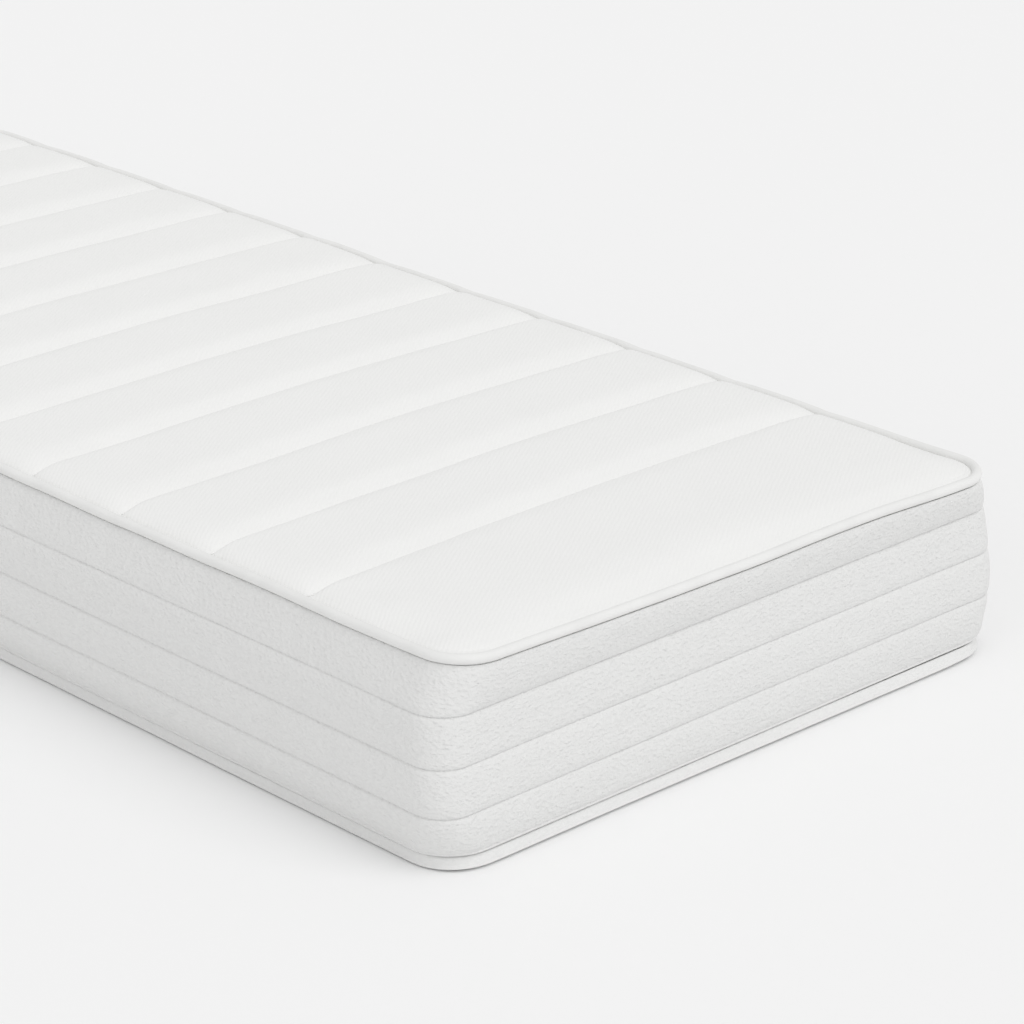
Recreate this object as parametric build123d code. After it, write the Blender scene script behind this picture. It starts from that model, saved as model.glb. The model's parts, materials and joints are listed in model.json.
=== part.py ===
from build123d import *
import math
import os

# Memory foam mattress, single size, with a removable zipped cover.
#
# Frame: millimetres, +Z up, origin at the centre of the underside. X runs across
# the mattress, Y along it with the foot end at -Y and the head end at +Y.
#
# Everything at the mattress's side is drawn in side coordinates (s, z): s is the
# distance outward from the nominal side face, z the height above the floor. A
# profile drawn there is carried round the rounded-rectangle plan by ring().

# ---- driving dimensions ------------------------------------------------------
WIDTH = 900.0            # across the outer faces of the bottom band
LENGTH = 2000.0
CORNER_RADIUS = 62.0     # plan radius of those faces

# heights of the foam layers
FLOOR_CLOTH = 1.2        # thickness of the underside cloth
CORE_BOTTOM = 2.4
CORE_TOP = 134.0
COMFORT_TOP = 174.0
MEMORY_TOP = 227.6

# bottom band and the zip slit above it
BAND_TOP = 16.0
BAND_THICK = 3.6
SLIT = 2.0

# quilted side border: its outer face is an arc with creases at the stitch lines
BORDER_BOTTOM = BAND_TOP + SLIT
BORDER_TOP = 234.0
STITCH_LINES = 3
PANEL_HEIGHT = 55.5      # of each quilted panel below the topmost, which takes what is left
BULGE_LOW, BULGE_MID, BULGE_HIGH = 1.5, 12.0, -12.0
CREASE = 1.2
TICKING = 1.5            # knitted outer cloth
SIDE_WADDING = 12.0
BACKING = 0.6
SLEEVE = 0.8
GAP = 0.3                # clearance between layers that only lie on each other

# top piping
PIPING_RADIUS = 6.1
PIPING_CORD_RADIUS = 4.5
PIPING_S = -13.0
PIPING_Z = 240.2
FLANGE_INNER_S = -30.0
FLANGE_THICK = 1.2
SEAM_THREAD_S = -24.0

# quilted top: channels across the width, between stitched seams
CROWN_Z = 255.5
VALLEY_Z = 249.5
TOP_EDGE_S = PIPING_S - PIPING_RADIUS - 0.2
TOP_EDGE_Z = 243.5
PLATEAU_S = -56.0        # where the edge curve reaches full height
FIRST_SEAM = 258.0       # from the foot end
SEAM_PITCH = 159.3
SEAM_COUNT = 11
TOP_BACKING_Z = 229.2

THREAD_RADIUS = 0.4

# zip, a continuous one in the slit between border and band
ZIP_Z = (BAND_TOP + BORDER_BOTTOM) / 2
TAPE_THICK = 0.8
TAPE_S = -8.5            # outer face of the tapes
TAPE_GAP = 2.4
COIL_THICK = 2.0
COIL_HALF_WIDTH = 3.0
COIL_CLEAR = 0.05        # from the centre line and from the tape
UPPER_TAPE_TOP = 31.0
SLIDER_Y = 860.0         # where the slider is parked, on the +X side by the head
SLIDER_LENGTH = 13.0
SLIDER_WIDTH = 9.6
SLIDER_PLATE = 1.1
COIL_GAP = 22.0          # stretch with no coil, where the zip starts and ends

BRIDGE_THICK = 1.4
BRIDGE_LENGTH = 8.0
BRIDGE_TIP_S = 5.0
HINGE_S = 3.6
PIN_RADIUS = 0.7
PIN_CLEAR = 0.05
TAB_WIDTH = 7.6
TAB_LENGTH = 25.0
TAB_THICK = 1.2

LABEL_WIDTH = 45.0
LABEL_BOTTOM = 168.0
LABEL_THICK = 0.5

HALF_X = WIDTH / 2
HALF_Y = LENGTH / 2
STRAIGHT_X = HALF_X - CORNER_RADIUS
STRAIGHT_Y = HALF_Y - CORNER_RADIUS


# ---- helpers -----------------------------------------------------------------
def ring(profile):
    """Carries a face drawn in (s, z) round the whole plan and returns one solid."""
    on_long_side = Pos(HALF_X, -STRAIGHT_Y, 0) * (Plane.XZ * profile)
    on_short_side = Pos(STRAIGHT_X, 0, 0) * Rot(0, 0, 90) * Pos(HALF_Y, 0, 0) * (Plane.XZ * profile)
    long_run = extrude(on_long_side, 2 * STRAIGHT_Y, dir=(0, 1, 0))
    short_run = extrude(on_short_side, 2 * STRAIGHT_X, dir=(-1, 0, 0))
    first_corner = revolve(
        Pos(0, 2 * STRAIGHT_Y, 0) * on_long_side,
        Axis((STRAIGHT_X, STRAIGHT_Y, 0), (0, 0, 1)),
        90,
    )
    second_corner = revolve(
        Pos(-2 * STRAIGHT_X, 0, 0) * on_short_side,
        Axis((-STRAIGHT_X, STRAIGHT_Y, 0), (0, 0, 1)),
        90,
    )
    half = long_run + first_corner + short_run + second_corner
    return half + Rot(0, 0, 180) * half


def plate(s, bottom, top):
    """A flat slab with the mattress's plan, grown by s at its edges."""
    outline = RectangleRounded(WIDTH + 2 * s, LENGTH + 2 * s, CORNER_RADIUS + s)
    return Pos(0, 0, bottom) * extrude(outline, top - bottom)


def band_face(s_low, s_high, z_low, z_high):
    """A rectangle in side coordinates."""
    centre = Pos((s_low + s_high) / 2, (z_low + z_high) / 2)
    return centre * Rectangle(s_high - s_low, z_high - z_low)


def block(x_low, x_high, y_low, y_high, z_low, z_high):
    centre = Pos((x_low + x_high) / 2, (y_low + y_high) / 2, (z_low + z_high) / 2)
    return centre * Box(x_high - x_low, y_high - y_low, z_high - z_low)


def circle_through(first, middle, last):
    """Centre and radius of the circle through three (s, z) points."""
    (ax, ay), (bx, by), (cx, cy) = first, middle, last
    d = 2 * (ax * (by - cy) + bx * (cy - ay) + cx * (ay - by))
    a2, b2, c2 = ax**2 + ay**2, bx**2 + by**2, cx**2 + cy**2
    x = (a2 * (by - cy) + b2 * (cy - ay) + c2 * (ay - by)) / d
    y = (a2 * (cx - bx) + b2 * (ax - cx) + c2 * (bx - ax)) / d
    return x, y, math.hypot(ax - x, ay - y)


SIDE_CENTRE_S, SIDE_CENTRE_Z, SIDE_RADIUS = circle_through(
    (BULGE_LOW, BORDER_BOTTOM),
    (BULGE_MID, (BORDER_BOTTOM + BORDER_TOP) / 2),
    (BULGE_HIGH, BORDER_TOP),
)


def side_s(z, depth=0.0):
    """How far out the side stands at height z, on the arc that lies depth inside it."""
    rise = z - SIDE_CENTRE_Z
    return SIDE_CENTRE_S + math.sqrt((SIDE_RADIUS - depth) ** 2 - rise**2)


def side_point(z, depth=0.0):
    return (side_s(z, depth), z)


def side_arc(z_low, z_high, depth):
    return ThreePointArc(
        side_point(z_low, depth),
        side_point((z_low + z_high) / 2, depth),
        side_point(z_high, depth),
    )


def side_layer(outer, inner, z_low, z_high):
    """The face between two arcs parallel to the side, from z_low to z_high."""
    edges = [
        side_arc(z_low, z_high, outer),
        Line(side_point(z_high, outer), side_point(z_high, inner)),
        side_arc(z_low, z_high, inner),
        Line(side_point(z_low, inner), side_point(z_low, outer)),
    ]
    return make_face(Curve() + edges)


def stitch_heights():
    """Heights of the border's stitch lines."""
    return [BORDER_BOTTOM + PANEL_HEIGHT * (i + 1) for i in range(STITCH_LINES)]


def quilted_side(depth, inner_s):
    """The border's outline at a depth: one arc per panel, closed on the inside by a line."""
    heights = [BORDER_BOTTOM, *stitch_heights(), BORDER_TOP]
    corners = [side_point(z, depth + CREASE) for z in heights]
    edges = []
    for low, high in zip(corners, corners[1:]):
        middle = (low[1] + high[1]) / 2
        edges.append(ThreePointArc(low, side_point(middle, depth), high))
    edges.append(Line(corners[-1], (inner_s, BORDER_TOP)))
    edges.append(Line((inner_s, BORDER_TOP), (inner_s, BORDER_BOTTOM)))
    edges.append(Line((inner_s, BORDER_BOTTOM), corners[0]))
    return make_face(Curve() + edges)


# ---- foam core ---------------------------------------------------------------
SLAB_RING_S = -58.0      # where a slab's flat middle meets its bulging rim
SLEEVE_DEPTH = TICKING + SIDE_WADDING + BACKING + GAP
FOAM_DEPTH = SLEEVE_DEPTH + SLEEVE + GAP


def bulging_slab(depth, bottom, top):
    """A slab whose rim follows the side's bulge at a depth."""
    rim = make_face(
        Curve()
        + [
            side_arc(bottom, top, depth),
            Line(side_point(top, depth), (SLAB_RING_S, top)),
            Line((SLAB_RING_S, top), (SLAB_RING_S, bottom)),
            Line((SLAB_RING_S, bottom), side_point(bottom, depth)),
        ]
    )
    return plate(SLAB_RING_S, bottom, top) + ring(rim)


def support_foam_core():
    """Firm base foam with cross slots under the shoulders and the hips."""
    slot_width, slot_depth, slot_pitch, slots_in_zone = 5.0, 35.0, 40.0, 5
    core = bulging_slab(FOAM_DEPTH, CORE_BOTTOM, CORE_TOP)
    for zone_y in (-200.0, 500.0):
        for i in range(slots_in_zone):
            y = zone_y + slot_pitch * (i - (slots_in_zone - 1) / 2)
            core -= block(
                -WIDTH, WIDTH, y - slot_width / 2, y + slot_width / 2, CORE_TOP - slot_depth, CORE_TOP
            )
    return core


def comfort_foam_layer():
    return bulging_slab(FOAM_DEPTH, CORE_TOP, COMFORT_TOP)


def memory_foam_layer():
    return bulging_slab(FOAM_DEPTH, COMFORT_TOP, MEMORY_TOP)


def inner_sleeve():
    """Thin knitted sleeve that holds the glued foam layers, sewn shut all round."""
    outside = bulging_slab(SLEEVE_DEPTH, CORE_BOTTOM - GAP - SLEEVE, MEMORY_TOP + GAP + SLEEVE)
    inside = bulging_slab(SLEEVE_DEPTH + SLEEVE, CORE_BOTTOM - GAP / 2, MEMORY_TOP + GAP / 2)
    return outside - inside


# ---- underside, band and zip -------------------------------------------------
def bottom_panel():
    return plate(-BAND_THICK - 0.2, 0, FLOOR_CLOTH)


def bottom_band():
    """Folded tape round the foot of the mattress, with the seam allowance turned in."""
    lip = band_face(-BAND_THICK, 0, 0, BAND_TOP)
    lip = fillet(lip.vertices().group_by(Axis.X)[-1], 1.2)
    allowance = band_face(-10.0, -BAND_THICK, FLOOR_CLOTH + 0.1, FLOOR_CLOTH + 1.7)
    return ring(lip + allowance)


def bottom_band_thread():
    """Thread ring that sews the band's allowance to the underside cloth."""
    return ring(Pos(-6.5, FLOOR_CLOTH + 1.7 + THREAD_RADIUS) * Circle(THREAD_RADIUS))


def zip_tape_lower():
    return ring(band_face(TAPE_S - TAPE_THICK, TAPE_S, 3.0, ZIP_Z - TAPE_GAP / 2))


def zip_tape_upper():
    return ring(band_face(TAPE_S - TAPE_THICK, TAPE_S, ZIP_Z + TAPE_GAP / 2, UPPER_TAPE_TOP))


def zip_coil(side):
    """One row of coil, above the centre line for side 1 and below it for side -1."""
    near, far = ZIP_Z + side * COIL_CLEAR, ZIP_Z + side * COIL_HALF_WIDTH
    s_low = TAPE_S + COIL_CLEAR
    row = ring(band_face(s_low, s_low + COIL_THICK, min(near, far), max(near, far)))
    gap_start = SLIDER_Y - 0.5
    return row - block(
        HALF_X - 20, HALF_X, gap_start, gap_start + COIL_GAP, ZIP_Z - 10, ZIP_Z + 10
    )


def zip_end_stops():
    """Two clamps where the coil rows end and one box where they begin."""
    s_low = HALF_X + TAPE_S + COIL_CLEAR
    ends = SLIDER_Y + SLIDER_LENGTH / 2 + 1.5
    solids = []
    for side in (1, -1):
        z_near, z_far = ZIP_Z + side * 1.4, ZIP_Z + side * 3.6
        clamp = block(s_low, s_low + 1.8, ends, ends + 3.0, min(z_near, z_far), max(z_near, z_far))
        solids.append(fillet(clamp.edges().filter_by(Axis.Z), 0.5))
    begins = SLIDER_Y - 0.5 + COIL_GAP - 0.3
    box = block(s_low, s_low + 2.2, begins - 4.0, begins, ZIP_Z - 3.4, ZIP_Z + 3.4)
    solids.append(fillet(box.edges().filter_by(Axis.X), 0.8))
    return Compound(children=[s.solid() for s in solids])


def zip_slider():
    """Slider body: two plates, edge flanges, a wedge post and the bridge for the pull."""
    half_length, half_width = SLIDER_LENGTH / 2, SLIDER_WIDTH / 2
    outer_s, inner_s = -6.1, -9.75
    flange = 1.0
    y_low, y_high = SLIDER_Y - half_length, SLIDER_Y + half_length
    plan = Pos(0, SLIDER_Y, ZIP_Z) * Rot(0, 90, 0) * RectangleRounded(SLIDER_WIDTH, SLIDER_LENGTH, 2.4)
    outer_plate = Pos(HALF_X + outer_s, 0, 0) * extrude(plan, SLIDER_PLATE, dir=(1, 0, 0))
    inner_plate = Pos(HALF_X + inner_s, 0, 0) * extrude(plan, SLIDER_PLATE, dir=(-1, 0, 0))
    body = outer_plate + inner_plate
    for side in (1, -1):
        z_outer, z_inner = ZIP_Z + side * half_width, ZIP_Z + side * (half_width - flange)
        z_low, z_high = min(z_outer, z_inner), max(z_outer, z_inner)
        rail = (HALF_X + outer_s - 2.1, HALF_X + outer_s, y_low + 2.4, y_high - 2.4, z_low, z_high)
        body += block(*rail)
    post = Pos(HALF_X, SLIDER_Y + 3.2, ZIP_Z) * Rot(0, 90, 0) * Ellipse(0.9, 2.2)
    body += Pos(inner_s, 0, 0) * extrude(post, outer_s - inner_s, dir=(1, 0, 0))
    return (body + bridge()).solid()


def bridge():
    """Narrow fin along the zip that passes out through the slit and carries the pull."""
    base_s = -6.1 + SLIDER_PLATE
    fin = block(
        HALF_X + base_s,
        HALF_X + BRIDGE_TIP_S,
        SLIDER_Y - BRIDGE_LENGTH / 2,
        SLIDER_Y + BRIDGE_LENGTH / 2,
        ZIP_Z - BRIDGE_THICK / 2,
        ZIP_Z + BRIDGE_THICK / 2,
    )
    tip_edges = fin.edges().filter_by(Axis.Z).group_by(Axis.X)[-1]
    fin = fillet(tip_edges, 2.5)
    hole = Pos(HALF_X + HINGE_S, SLIDER_Y, ZIP_Z) * Cylinder(PIN_RADIUS + PIN_CLEAR, 10)
    return fin - hole


def zip_pull_tab():
    """Flat pull, lying back along the zip, with a pin through the slider's bridge."""
    x_mid = HALF_X + HINGE_S
    plan = Rot(0, 90, 0) * RectangleRounded(TAB_WIDTH, TAB_LENGTH, 2.6)
    blank = Pos(x_mid - TAB_THICK / 2, SLIDER_Y - TAB_LENGTH / 2 + TAB_THICK / 2, ZIP_Z) * extrude(
        plan, TAB_THICK, dir=(1, 0, 0)
    )
    slot_half = BRIDGE_THICK / 2 + 0.3
    slot_reach = BRIDGE_LENGTH / 2 + 1.0
    slot = block(
        x_mid - 5, x_mid + 5, SLIDER_Y - slot_reach, SLIDER_Y + 5, ZIP_Z - slot_half, ZIP_Z + slot_half
    )
    grip_hole = Pos(x_mid, SLIDER_Y - TAB_LENGTH + 5.5, ZIP_Z) * Rot(0, 90, 0) * Cylinder(1.6, 10)
    pin = Pos(x_mid, SLIDER_Y, ZIP_Z) * Cylinder(PIN_RADIUS, 2 * slot_half + 1.0)
    return (blank - slot - grip_hole + pin).solid()


# ---- border ------------------------------------------------------------------
HEM_HEIGHT = 6.0
TAPE_POCKET_TOP = 33.0
RETURN_BOTTOM = BORDER_TOP - TICKING
SIDE_FILL_TOP = RETURN_BOTTOM - 2 * THREAD_RADIUS - 0.2


def border_ticking():
    """Knitted outer cloth of the border, hemmed at the zip and turned in at the piping."""
    cloth = quilted_side(0, FLANGE_INNER_S) - quilted_side(TICKING, FLANGE_INNER_S - 1)
    hem = band_face(-1.6, side_s(BORDER_BOTTOM, CREASE + TICKING) + 0.5, BORDER_BOTTOM, BORDER_BOTTOM + HEM_HEIGHT)
    turned_in = band_face(FLANGE_INNER_S, side_s(BORDER_TOP, CREASE + 0.1), RETURN_BOTTOM, BORDER_TOP)
    return ring(cloth + (hem & quilted_side(0, FLANGE_INNER_S)) + (turned_in & quilted_side(0, FLANGE_INNER_S - 1)))


def border_wadding():
    """Fibre filling behind the ticking, notched below for the upper zip tape."""
    fill = side_layer(0, TICKING + SIDE_WADDING, TAPE_POCKET_TOP, SIDE_FILL_TOP)
    fill += band_face(TAPE_S + 0.2, 4.0, BORDER_BOTTOM + HEM_HEIGHT + 0.1, TAPE_POCKET_TOP)
    return ring(fill & quilted_side(TICKING, -40.0))


def border_backing():
    depth = TICKING + SIDE_WADDING
    return ring(side_layer(depth, depth + BACKING, TAPE_POCKET_TOP, SIDE_FILL_TOP))


def border_quilt_threads():
    """One thread ring lying in each crease of the border."""
    rings = []
    for z in stitch_heights():
        centre = (side_s(z, CREASE) + THREAD_RADIUS * 1.05, z)
        rings.append(ring(Pos(*centre) * Circle(THREAD_RADIUS)).solid())
    return Compound(children=rings)


def care_label():
    """Blank cloth label sewn into the top seam at the head end, lying on the border."""
    z_top = BORDER_TOP - 1.5
    strip = side_layer(-LABEL_THICK - 0.2, -0.2, LABEL_BOTTOM, z_top)
    placed = Pos(0, HALF_Y, 0) * Rot(0, 0, 90) * (Plane.XZ * strip)
    return Pos(STRAIGHT_X - 2 * LABEL_WIDTH, 0, 0) * extrude(placed, LABEL_WIDTH, dir=(-1, 0, 0))


# ---- piping ------------------------------------------------------------------
def piping_cover():
    """Cloth wrapped round the piping cord, with its flange turned in to the seam."""
    centre = Pos(PIPING_S, PIPING_Z)
    flange = band_face(FLANGE_INNER_S, PIPING_S - 1.4, BORDER_TOP + 0.1, BORDER_TOP + 0.1 + FLANGE_THICK)
    wrap = centre * Circle(PIPING_RADIUS) + flange - centre * Circle(PIPING_CORD_RADIUS)
    return ring(wrap)


def piping_cord():
    return ring(Pos(PIPING_S, PIPING_Z) * Circle(PIPING_CORD_RADIUS - 0.1))


def piping_seam_thread():
    """Thread ring under the flange, where border, piping and top are sewn together."""
    return ring(Pos(SEAM_THREAD_S, RETURN_BOTTOM - 0.1 - THREAD_RADIUS) * Circle(THREAD_RADIUS))


# ---- quilted top -------------------------------------------------------------
TOP_SKIN_BOTTOM = BORDER_TOP + 0.1 + FLANGE_THICK + 0.1
MIDDLE_S = -59.0         # where the flat middle of the pillow meets its rim


def pillow(depth, bottom):
    """The top's outer form at a depth: flat middle, edges curving down to the piping."""
    run = TOP_EDGE_S - PLATEAU_S
    drop = CROWN_Z - TOP_EDGE_Z
    radius = (run**2 + drop**2) / (2 * drop) - depth
    centre_z = CROWN_Z - depth - radius
    edge_s = TOP_EDGE_S - depth
    edge_z = centre_z + math.sqrt(radius**2 - (edge_s - PLATEAU_S) ** 2)
    half = (edge_s + PLATEAU_S) / 2
    half_z = centre_z + math.sqrt(radius**2 - (half - PLATEAU_S) ** 2)
    rim = make_face(
        Curve()
        + [
            Line((MIDDLE_S, bottom), (edge_s, bottom)),
            Line((edge_s, bottom), (edge_s, edge_z)),
            ThreePointArc((edge_s, edge_z), (half, half_z), (PLATEAU_S, CROWN_Z - depth)),
            Line((PLATEAU_S, CROWN_Z - depth), (MIDDLE_S, CROWN_Z - depth)),
            Line((MIDDLE_S, CROWN_Z - depth), (MIDDLE_S, bottom)),
        ]
    )
    return plate(MIDDLE_S, bottom, CROWN_Z - depth) + ring(rim)


def seam_lines():
    """Y of each quilting seam, from the foot end."""
    return [-HALF_Y + FIRST_SEAM + SEAM_PITCH * i for i in range(SEAM_COUNT)]


def channels(depth, bottom):
    """A slab whose upper face is arched between neighbouring seams."""
    margin = 40.0
    stops = [-HALF_Y, *seam_lines(), HALF_Y]
    points = [(y, VALLEY_Z - depth) for y in stops]
    edges = []
    for low, high in zip(points, points[1:]):
        edges.append(ThreePointArc(low, ((low[0] + high[0]) / 2, CROWN_Z - depth), high))
    first, last = points[0], points[-1]
    edges += [
        Line(last, (last[0] + margin, last[1])),
        Line((last[0] + margin, last[1]), (last[0] + margin, bottom)),
        Line((last[0] + margin, bottom), (first[0] - margin, bottom)),
        Line((first[0] - margin, bottom), (first[0] - margin, first[1])),
        Line((first[0] - margin, first[1]), first),
    ]
    section = Plane.YZ * make_face(Curve() + edges)
    return extrude(section, HALF_X + margin, both=True)


def top_ticking():
    """Knitted outer cloth of the top, arched over each channel."""
    outside = pillow(0, TOP_SKIN_BOTTOM) & channels(0, 0)
    inside = pillow(TICKING, TOP_SKIN_BOTTOM - 5) & channels(TICKING, 0)
    return outside - inside


def top_wadding():
    """Fibre filling of the channels, cut back under the seam flange."""
    under_flange = ring(band_face(FLANGE_INNER_S - 0.3, 20.0, 200.0, TOP_SKIN_BOTTOM + 0.1))
    fill = pillow(TICKING, TOP_BACKING_Z + BACKING) & channels(TICKING, 0)
    return fill - under_flange


def top_backing():
    return plate(FLANGE_INNER_S - 0.3, TOP_BACKING_Z, TOP_BACKING_Z + BACKING)


def top_quilt_threads():
    """One thread along the valley between each two channels."""
    reach = HALF_X + PLATEAU_S
    lift = THREAD_RADIUS * 1.05
    rods = []
    for y in seam_lines():
        rod = Pos(0, y, VALLEY_Z + lift) * Rot(0, 90, 0) * Cylinder(THREAD_RADIUS, 2 * reach)
        rods.append(rod.solid())
    return Compound(children=rods)


# ---- output ------------------------------------------------------------------
PARTS = {
    "support_foam_core": support_foam_core,
    "comfort_foam_layer": comfort_foam_layer,
    "memory_foam_layer": memory_foam_layer,
    "inner_sleeve": inner_sleeve,
    "bottom_panel": bottom_panel,
    "bottom_band": bottom_band,
    "bottom_band_thread": bottom_band_thread,
    "zip_tape_lower": zip_tape_lower,
    "zip_tape_upper": zip_tape_upper,
    "zip_coil_lower": lambda: zip_coil(-1),
    "zip_coil_upper": lambda: zip_coil(1),
    "zip_end_stops": zip_end_stops,
    "zip_slider": zip_slider,
    "zip_pull_tab": zip_pull_tab,
    "border_ticking": border_ticking,
    "border_wadding": border_wadding,
    "border_backing": border_backing,
    "border_quilt_threads": border_quilt_threads,
    "care_label": care_label,
    "piping_cover": piping_cover,
    "piping_cord": piping_cord,
    "piping_seam_thread": piping_seam_thread,
    "top_ticking": top_ticking,
    "top_wadding": top_wadding,
    "top_backing": top_backing,
    "top_quilt_threads": top_quilt_threads,
}

os.makedirs("parts", exist_ok=True)
for node, make in PARTS.items():
    export_step(make(), f"parts/{node}.step")
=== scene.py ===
import json
import math

import bpy
import numpy as np
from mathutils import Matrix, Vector


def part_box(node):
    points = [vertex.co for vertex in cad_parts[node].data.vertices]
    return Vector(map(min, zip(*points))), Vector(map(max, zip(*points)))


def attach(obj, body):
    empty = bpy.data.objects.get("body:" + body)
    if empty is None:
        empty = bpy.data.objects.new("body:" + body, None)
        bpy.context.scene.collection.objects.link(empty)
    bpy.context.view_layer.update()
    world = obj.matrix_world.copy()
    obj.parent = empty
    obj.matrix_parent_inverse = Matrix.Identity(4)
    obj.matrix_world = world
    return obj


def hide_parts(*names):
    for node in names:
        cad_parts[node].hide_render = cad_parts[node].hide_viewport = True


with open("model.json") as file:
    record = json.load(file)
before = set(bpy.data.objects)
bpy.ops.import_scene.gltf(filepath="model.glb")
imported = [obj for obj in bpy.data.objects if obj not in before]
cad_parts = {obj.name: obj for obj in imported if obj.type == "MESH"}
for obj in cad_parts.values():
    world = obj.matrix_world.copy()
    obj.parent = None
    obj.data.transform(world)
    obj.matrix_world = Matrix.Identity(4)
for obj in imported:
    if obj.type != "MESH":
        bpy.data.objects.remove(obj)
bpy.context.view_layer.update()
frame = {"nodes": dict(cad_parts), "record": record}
MM = 0.001

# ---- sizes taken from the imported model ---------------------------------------
HALF_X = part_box("bottom_band")[1].x
HALF_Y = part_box("bottom_band")[1].y
BORDER_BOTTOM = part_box("border_ticking")[0].z
BORDER_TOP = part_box("border_ticking")[1].z
PIPE_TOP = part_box("piping_cover")[1].z
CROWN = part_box("top_ticking")[1].z

# ---- the piping --------------------------------------------------------------
PIPE_R = 6.1 * MM
PIPE_Z = PIPE_TOP - PIPE_R
PIPE_SIDE = -16 * MM              # piping's centre from the band's face, on the long sides
PIPE_FOOT = 1.5 * MM              # and at the two ends, where the top panel is cut longer
PIPE_CORNER = 54 * MM
PIPE_SWAY = 1.0 * MM              # how far it wanders outward and inward
PIPE_RIPPLE = 0.8 * MM            # and up and down
PIPE_LEFT_RISE = 2.2 * MM         # how much higher it runs on the -X side
PIPE_DIP = 0.9 * MM               # how far a seam's end pulls it down
FOOT_X = [-0.45, -0.19, -0.03, 0.23, 0.44]      # places along the foot end, in metres
FOOT_RISE = [1.6, -1.2, -3.2, 3.2, 1.6]         # mm the piping rises at each of them
PIPE_SIDES = 20                   # faces round it
HEM_R = 0.5 * MM                  # the narrow fold under the piping
HEM_OUT = 0.8 * MM
HEM_SIDES = 8

# ---- the quilting seams of the top -------------------------------------------
FIRST_SEAM = 258 * MM
SEAM_PITCH = 159.3 * MM
SEAM_COUNT = 11
SEAM_Y = [-HALF_Y + FIRST_SEAM + SEAM_PITCH * k for k in range(SEAM_COUNT)]
SEAM_NEAR = [-11, -3, 1, 9, 5, 6, 4, 5, 3, 3, 0]         # mm a seam strays at its -X end
SEAM_FAR = [9, 10, 15, 21, 14, 22, 18, 19, 12, 13, 5]    # and at its +X end
SEAM_BOW = 5 * MM                 # how far its middle bows towards the head
SEAM_HOOK = 6 * MM                # how far its +X end turns towards the foot
SEAM_DEPTH = 10.5 * MM
SEAM_SHARPNESS = 0.75
LONG_SLOPE, LONG_POWER = 78 * MM, 4.6      # channel beyond a seam: a long slope
SHORT_SLOPE, SHORT_POWER = 10 * MM, 2.4    # channel before it: a short steep one
NIP, NIP_REACH = 0.12, 2 * MM     # part of the depth that lies right at the thread
VALLEY = CROWN - SEAM_DEPTH
UNDER_TOP = 230.6 * MM            # underside of the quilted panel, on the foam
TOP_THICKNESS = 4 * MM            # at least this much where the cloth dips lower
TOP_RIPPLE = 0.5 * MM
SEAM_REACH = 105 * MM             # inward from the piping to where a seam is level
CREST_REACH = 46 * MM             # and to where a channel's crest is
FOOT_CREST_REACH = 96 * MM        # at the foot end
CLOTH_OVER = 1.4 * MM             # where the cloth meets the piping, above the piping's centre
CLOTH_UNDER = 2.5 * MM            # and its rim inside, below that centre
FLANK_DROP = 2.4 * MM             # how much lower it meets the piping on the +X side
FLANK_REACH = 34 * MM
SIDE_GROOVE, END_GROOVE = 0.12 * MM, 0.45 * MM      # depth of the groove beside the piping
GROOVE_WIDTH = 1.3 * MM
EDGE_REACH = 60 * MM              # how far inward the cloth follows the piping's wander
SEWN_RIM = 7 * MM                 # the simulation leaves this much of the rim alone

# ---- how use has settled the top panel ---------------------------------------
SIDE_DRAWN = 8 * MM               # the +X side, drawn in
FOOT_PUSHED = 5 * MM              # the foot end, pushed outward at its +X part
SIDE_DROP = 7.5 * MM              # the +X side, lower
HEAD_LIFT = 2.5 * MM              # but less so towards the head
CORNER_DROP = 0.6 * MM            # and a little more at the +X foot corner

# ---- lattice of the top panel, in mm inward from the piping's centre ---------
LIP = 5.2                         # where the cloth comes out from under the piping
GROOVE = 13.2                     # a sewn groove that runs beside the piping
GROOVE_SHARPNESS = 0.6
RINGS = [0, 2.5, 5, 6.4, 8, 10, 12, GROOVE, 14.4, 17, 21, 27, 34, 42, 52]
RIM = len(RINGS) - 1
SEAM_START = 4                    # the ring where a seam's thread begins
INNER_X = 46                      # lattice steps across the panel inside the rings
SEAM_GAPS = [1.2, 3, 6, 10, 15, 22, 32, 46, 63]          # mm from a seam to the rows near it
END_STEPS, HEAD_STEPS = 8, 3      # rows between the last seams and the two ends

# ---- the quilted border ------------------------------------------------------
CORNER = 62 * MM                  # corner radius of the inner face
HEM_CORNER = 58 * MM
PANEL = 55.5 * MM                 # height of a quilted panel
STITCH_Z = [BORDER_BOTTOM + PANEL * k for k in (1, 2, 3)]
SIDE_S = [1.0, 10.0, 10.0, 5.0]   # mm, outward at the hem and at each stitch line, on the long sides
FOOT_S = [0.0, 4.0, 1.0, -2.5]    # and at the ends
CORNERS = [56, 42, 42, 46]        # mm, corner radius at the same heights
STITCH_DROP = [0.0, 4.5, 4.0, 1.5]    # mm the lines hang lower towards the -X side
SWELL = 2.1 * MM
CREASE = 1.9 * MM
TOP_SWELL = 2.4 * MM              # more swell in the panel that reaches the piping
STITCH_SHARPNESS = 0.85
BORDER_SWAY = 0.4 * MM            # how far the cloth wanders outward and inward
STITCH_SWAY = 0.35 * MM           # and its lines up and down
HEM_DROP, FOOT_HEM_DROP = 1.35 * MM, 0.6 * MM       # how far the hem hangs into the zip's slit
LEFT_OUT = 2.5 * MM               # how far the -X side stands out, all above the hem
RIGHT_IN = 8.5 * MM               # and how far the +X side is drawn in
LIP_OUT = 3.1 * MM                # the border's top edge, from the piping's centre line
TUCK = 7.2 * MM                   # and how far below it
LEFT_TUCK = 6.3 * MM              # on the -X side
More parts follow.
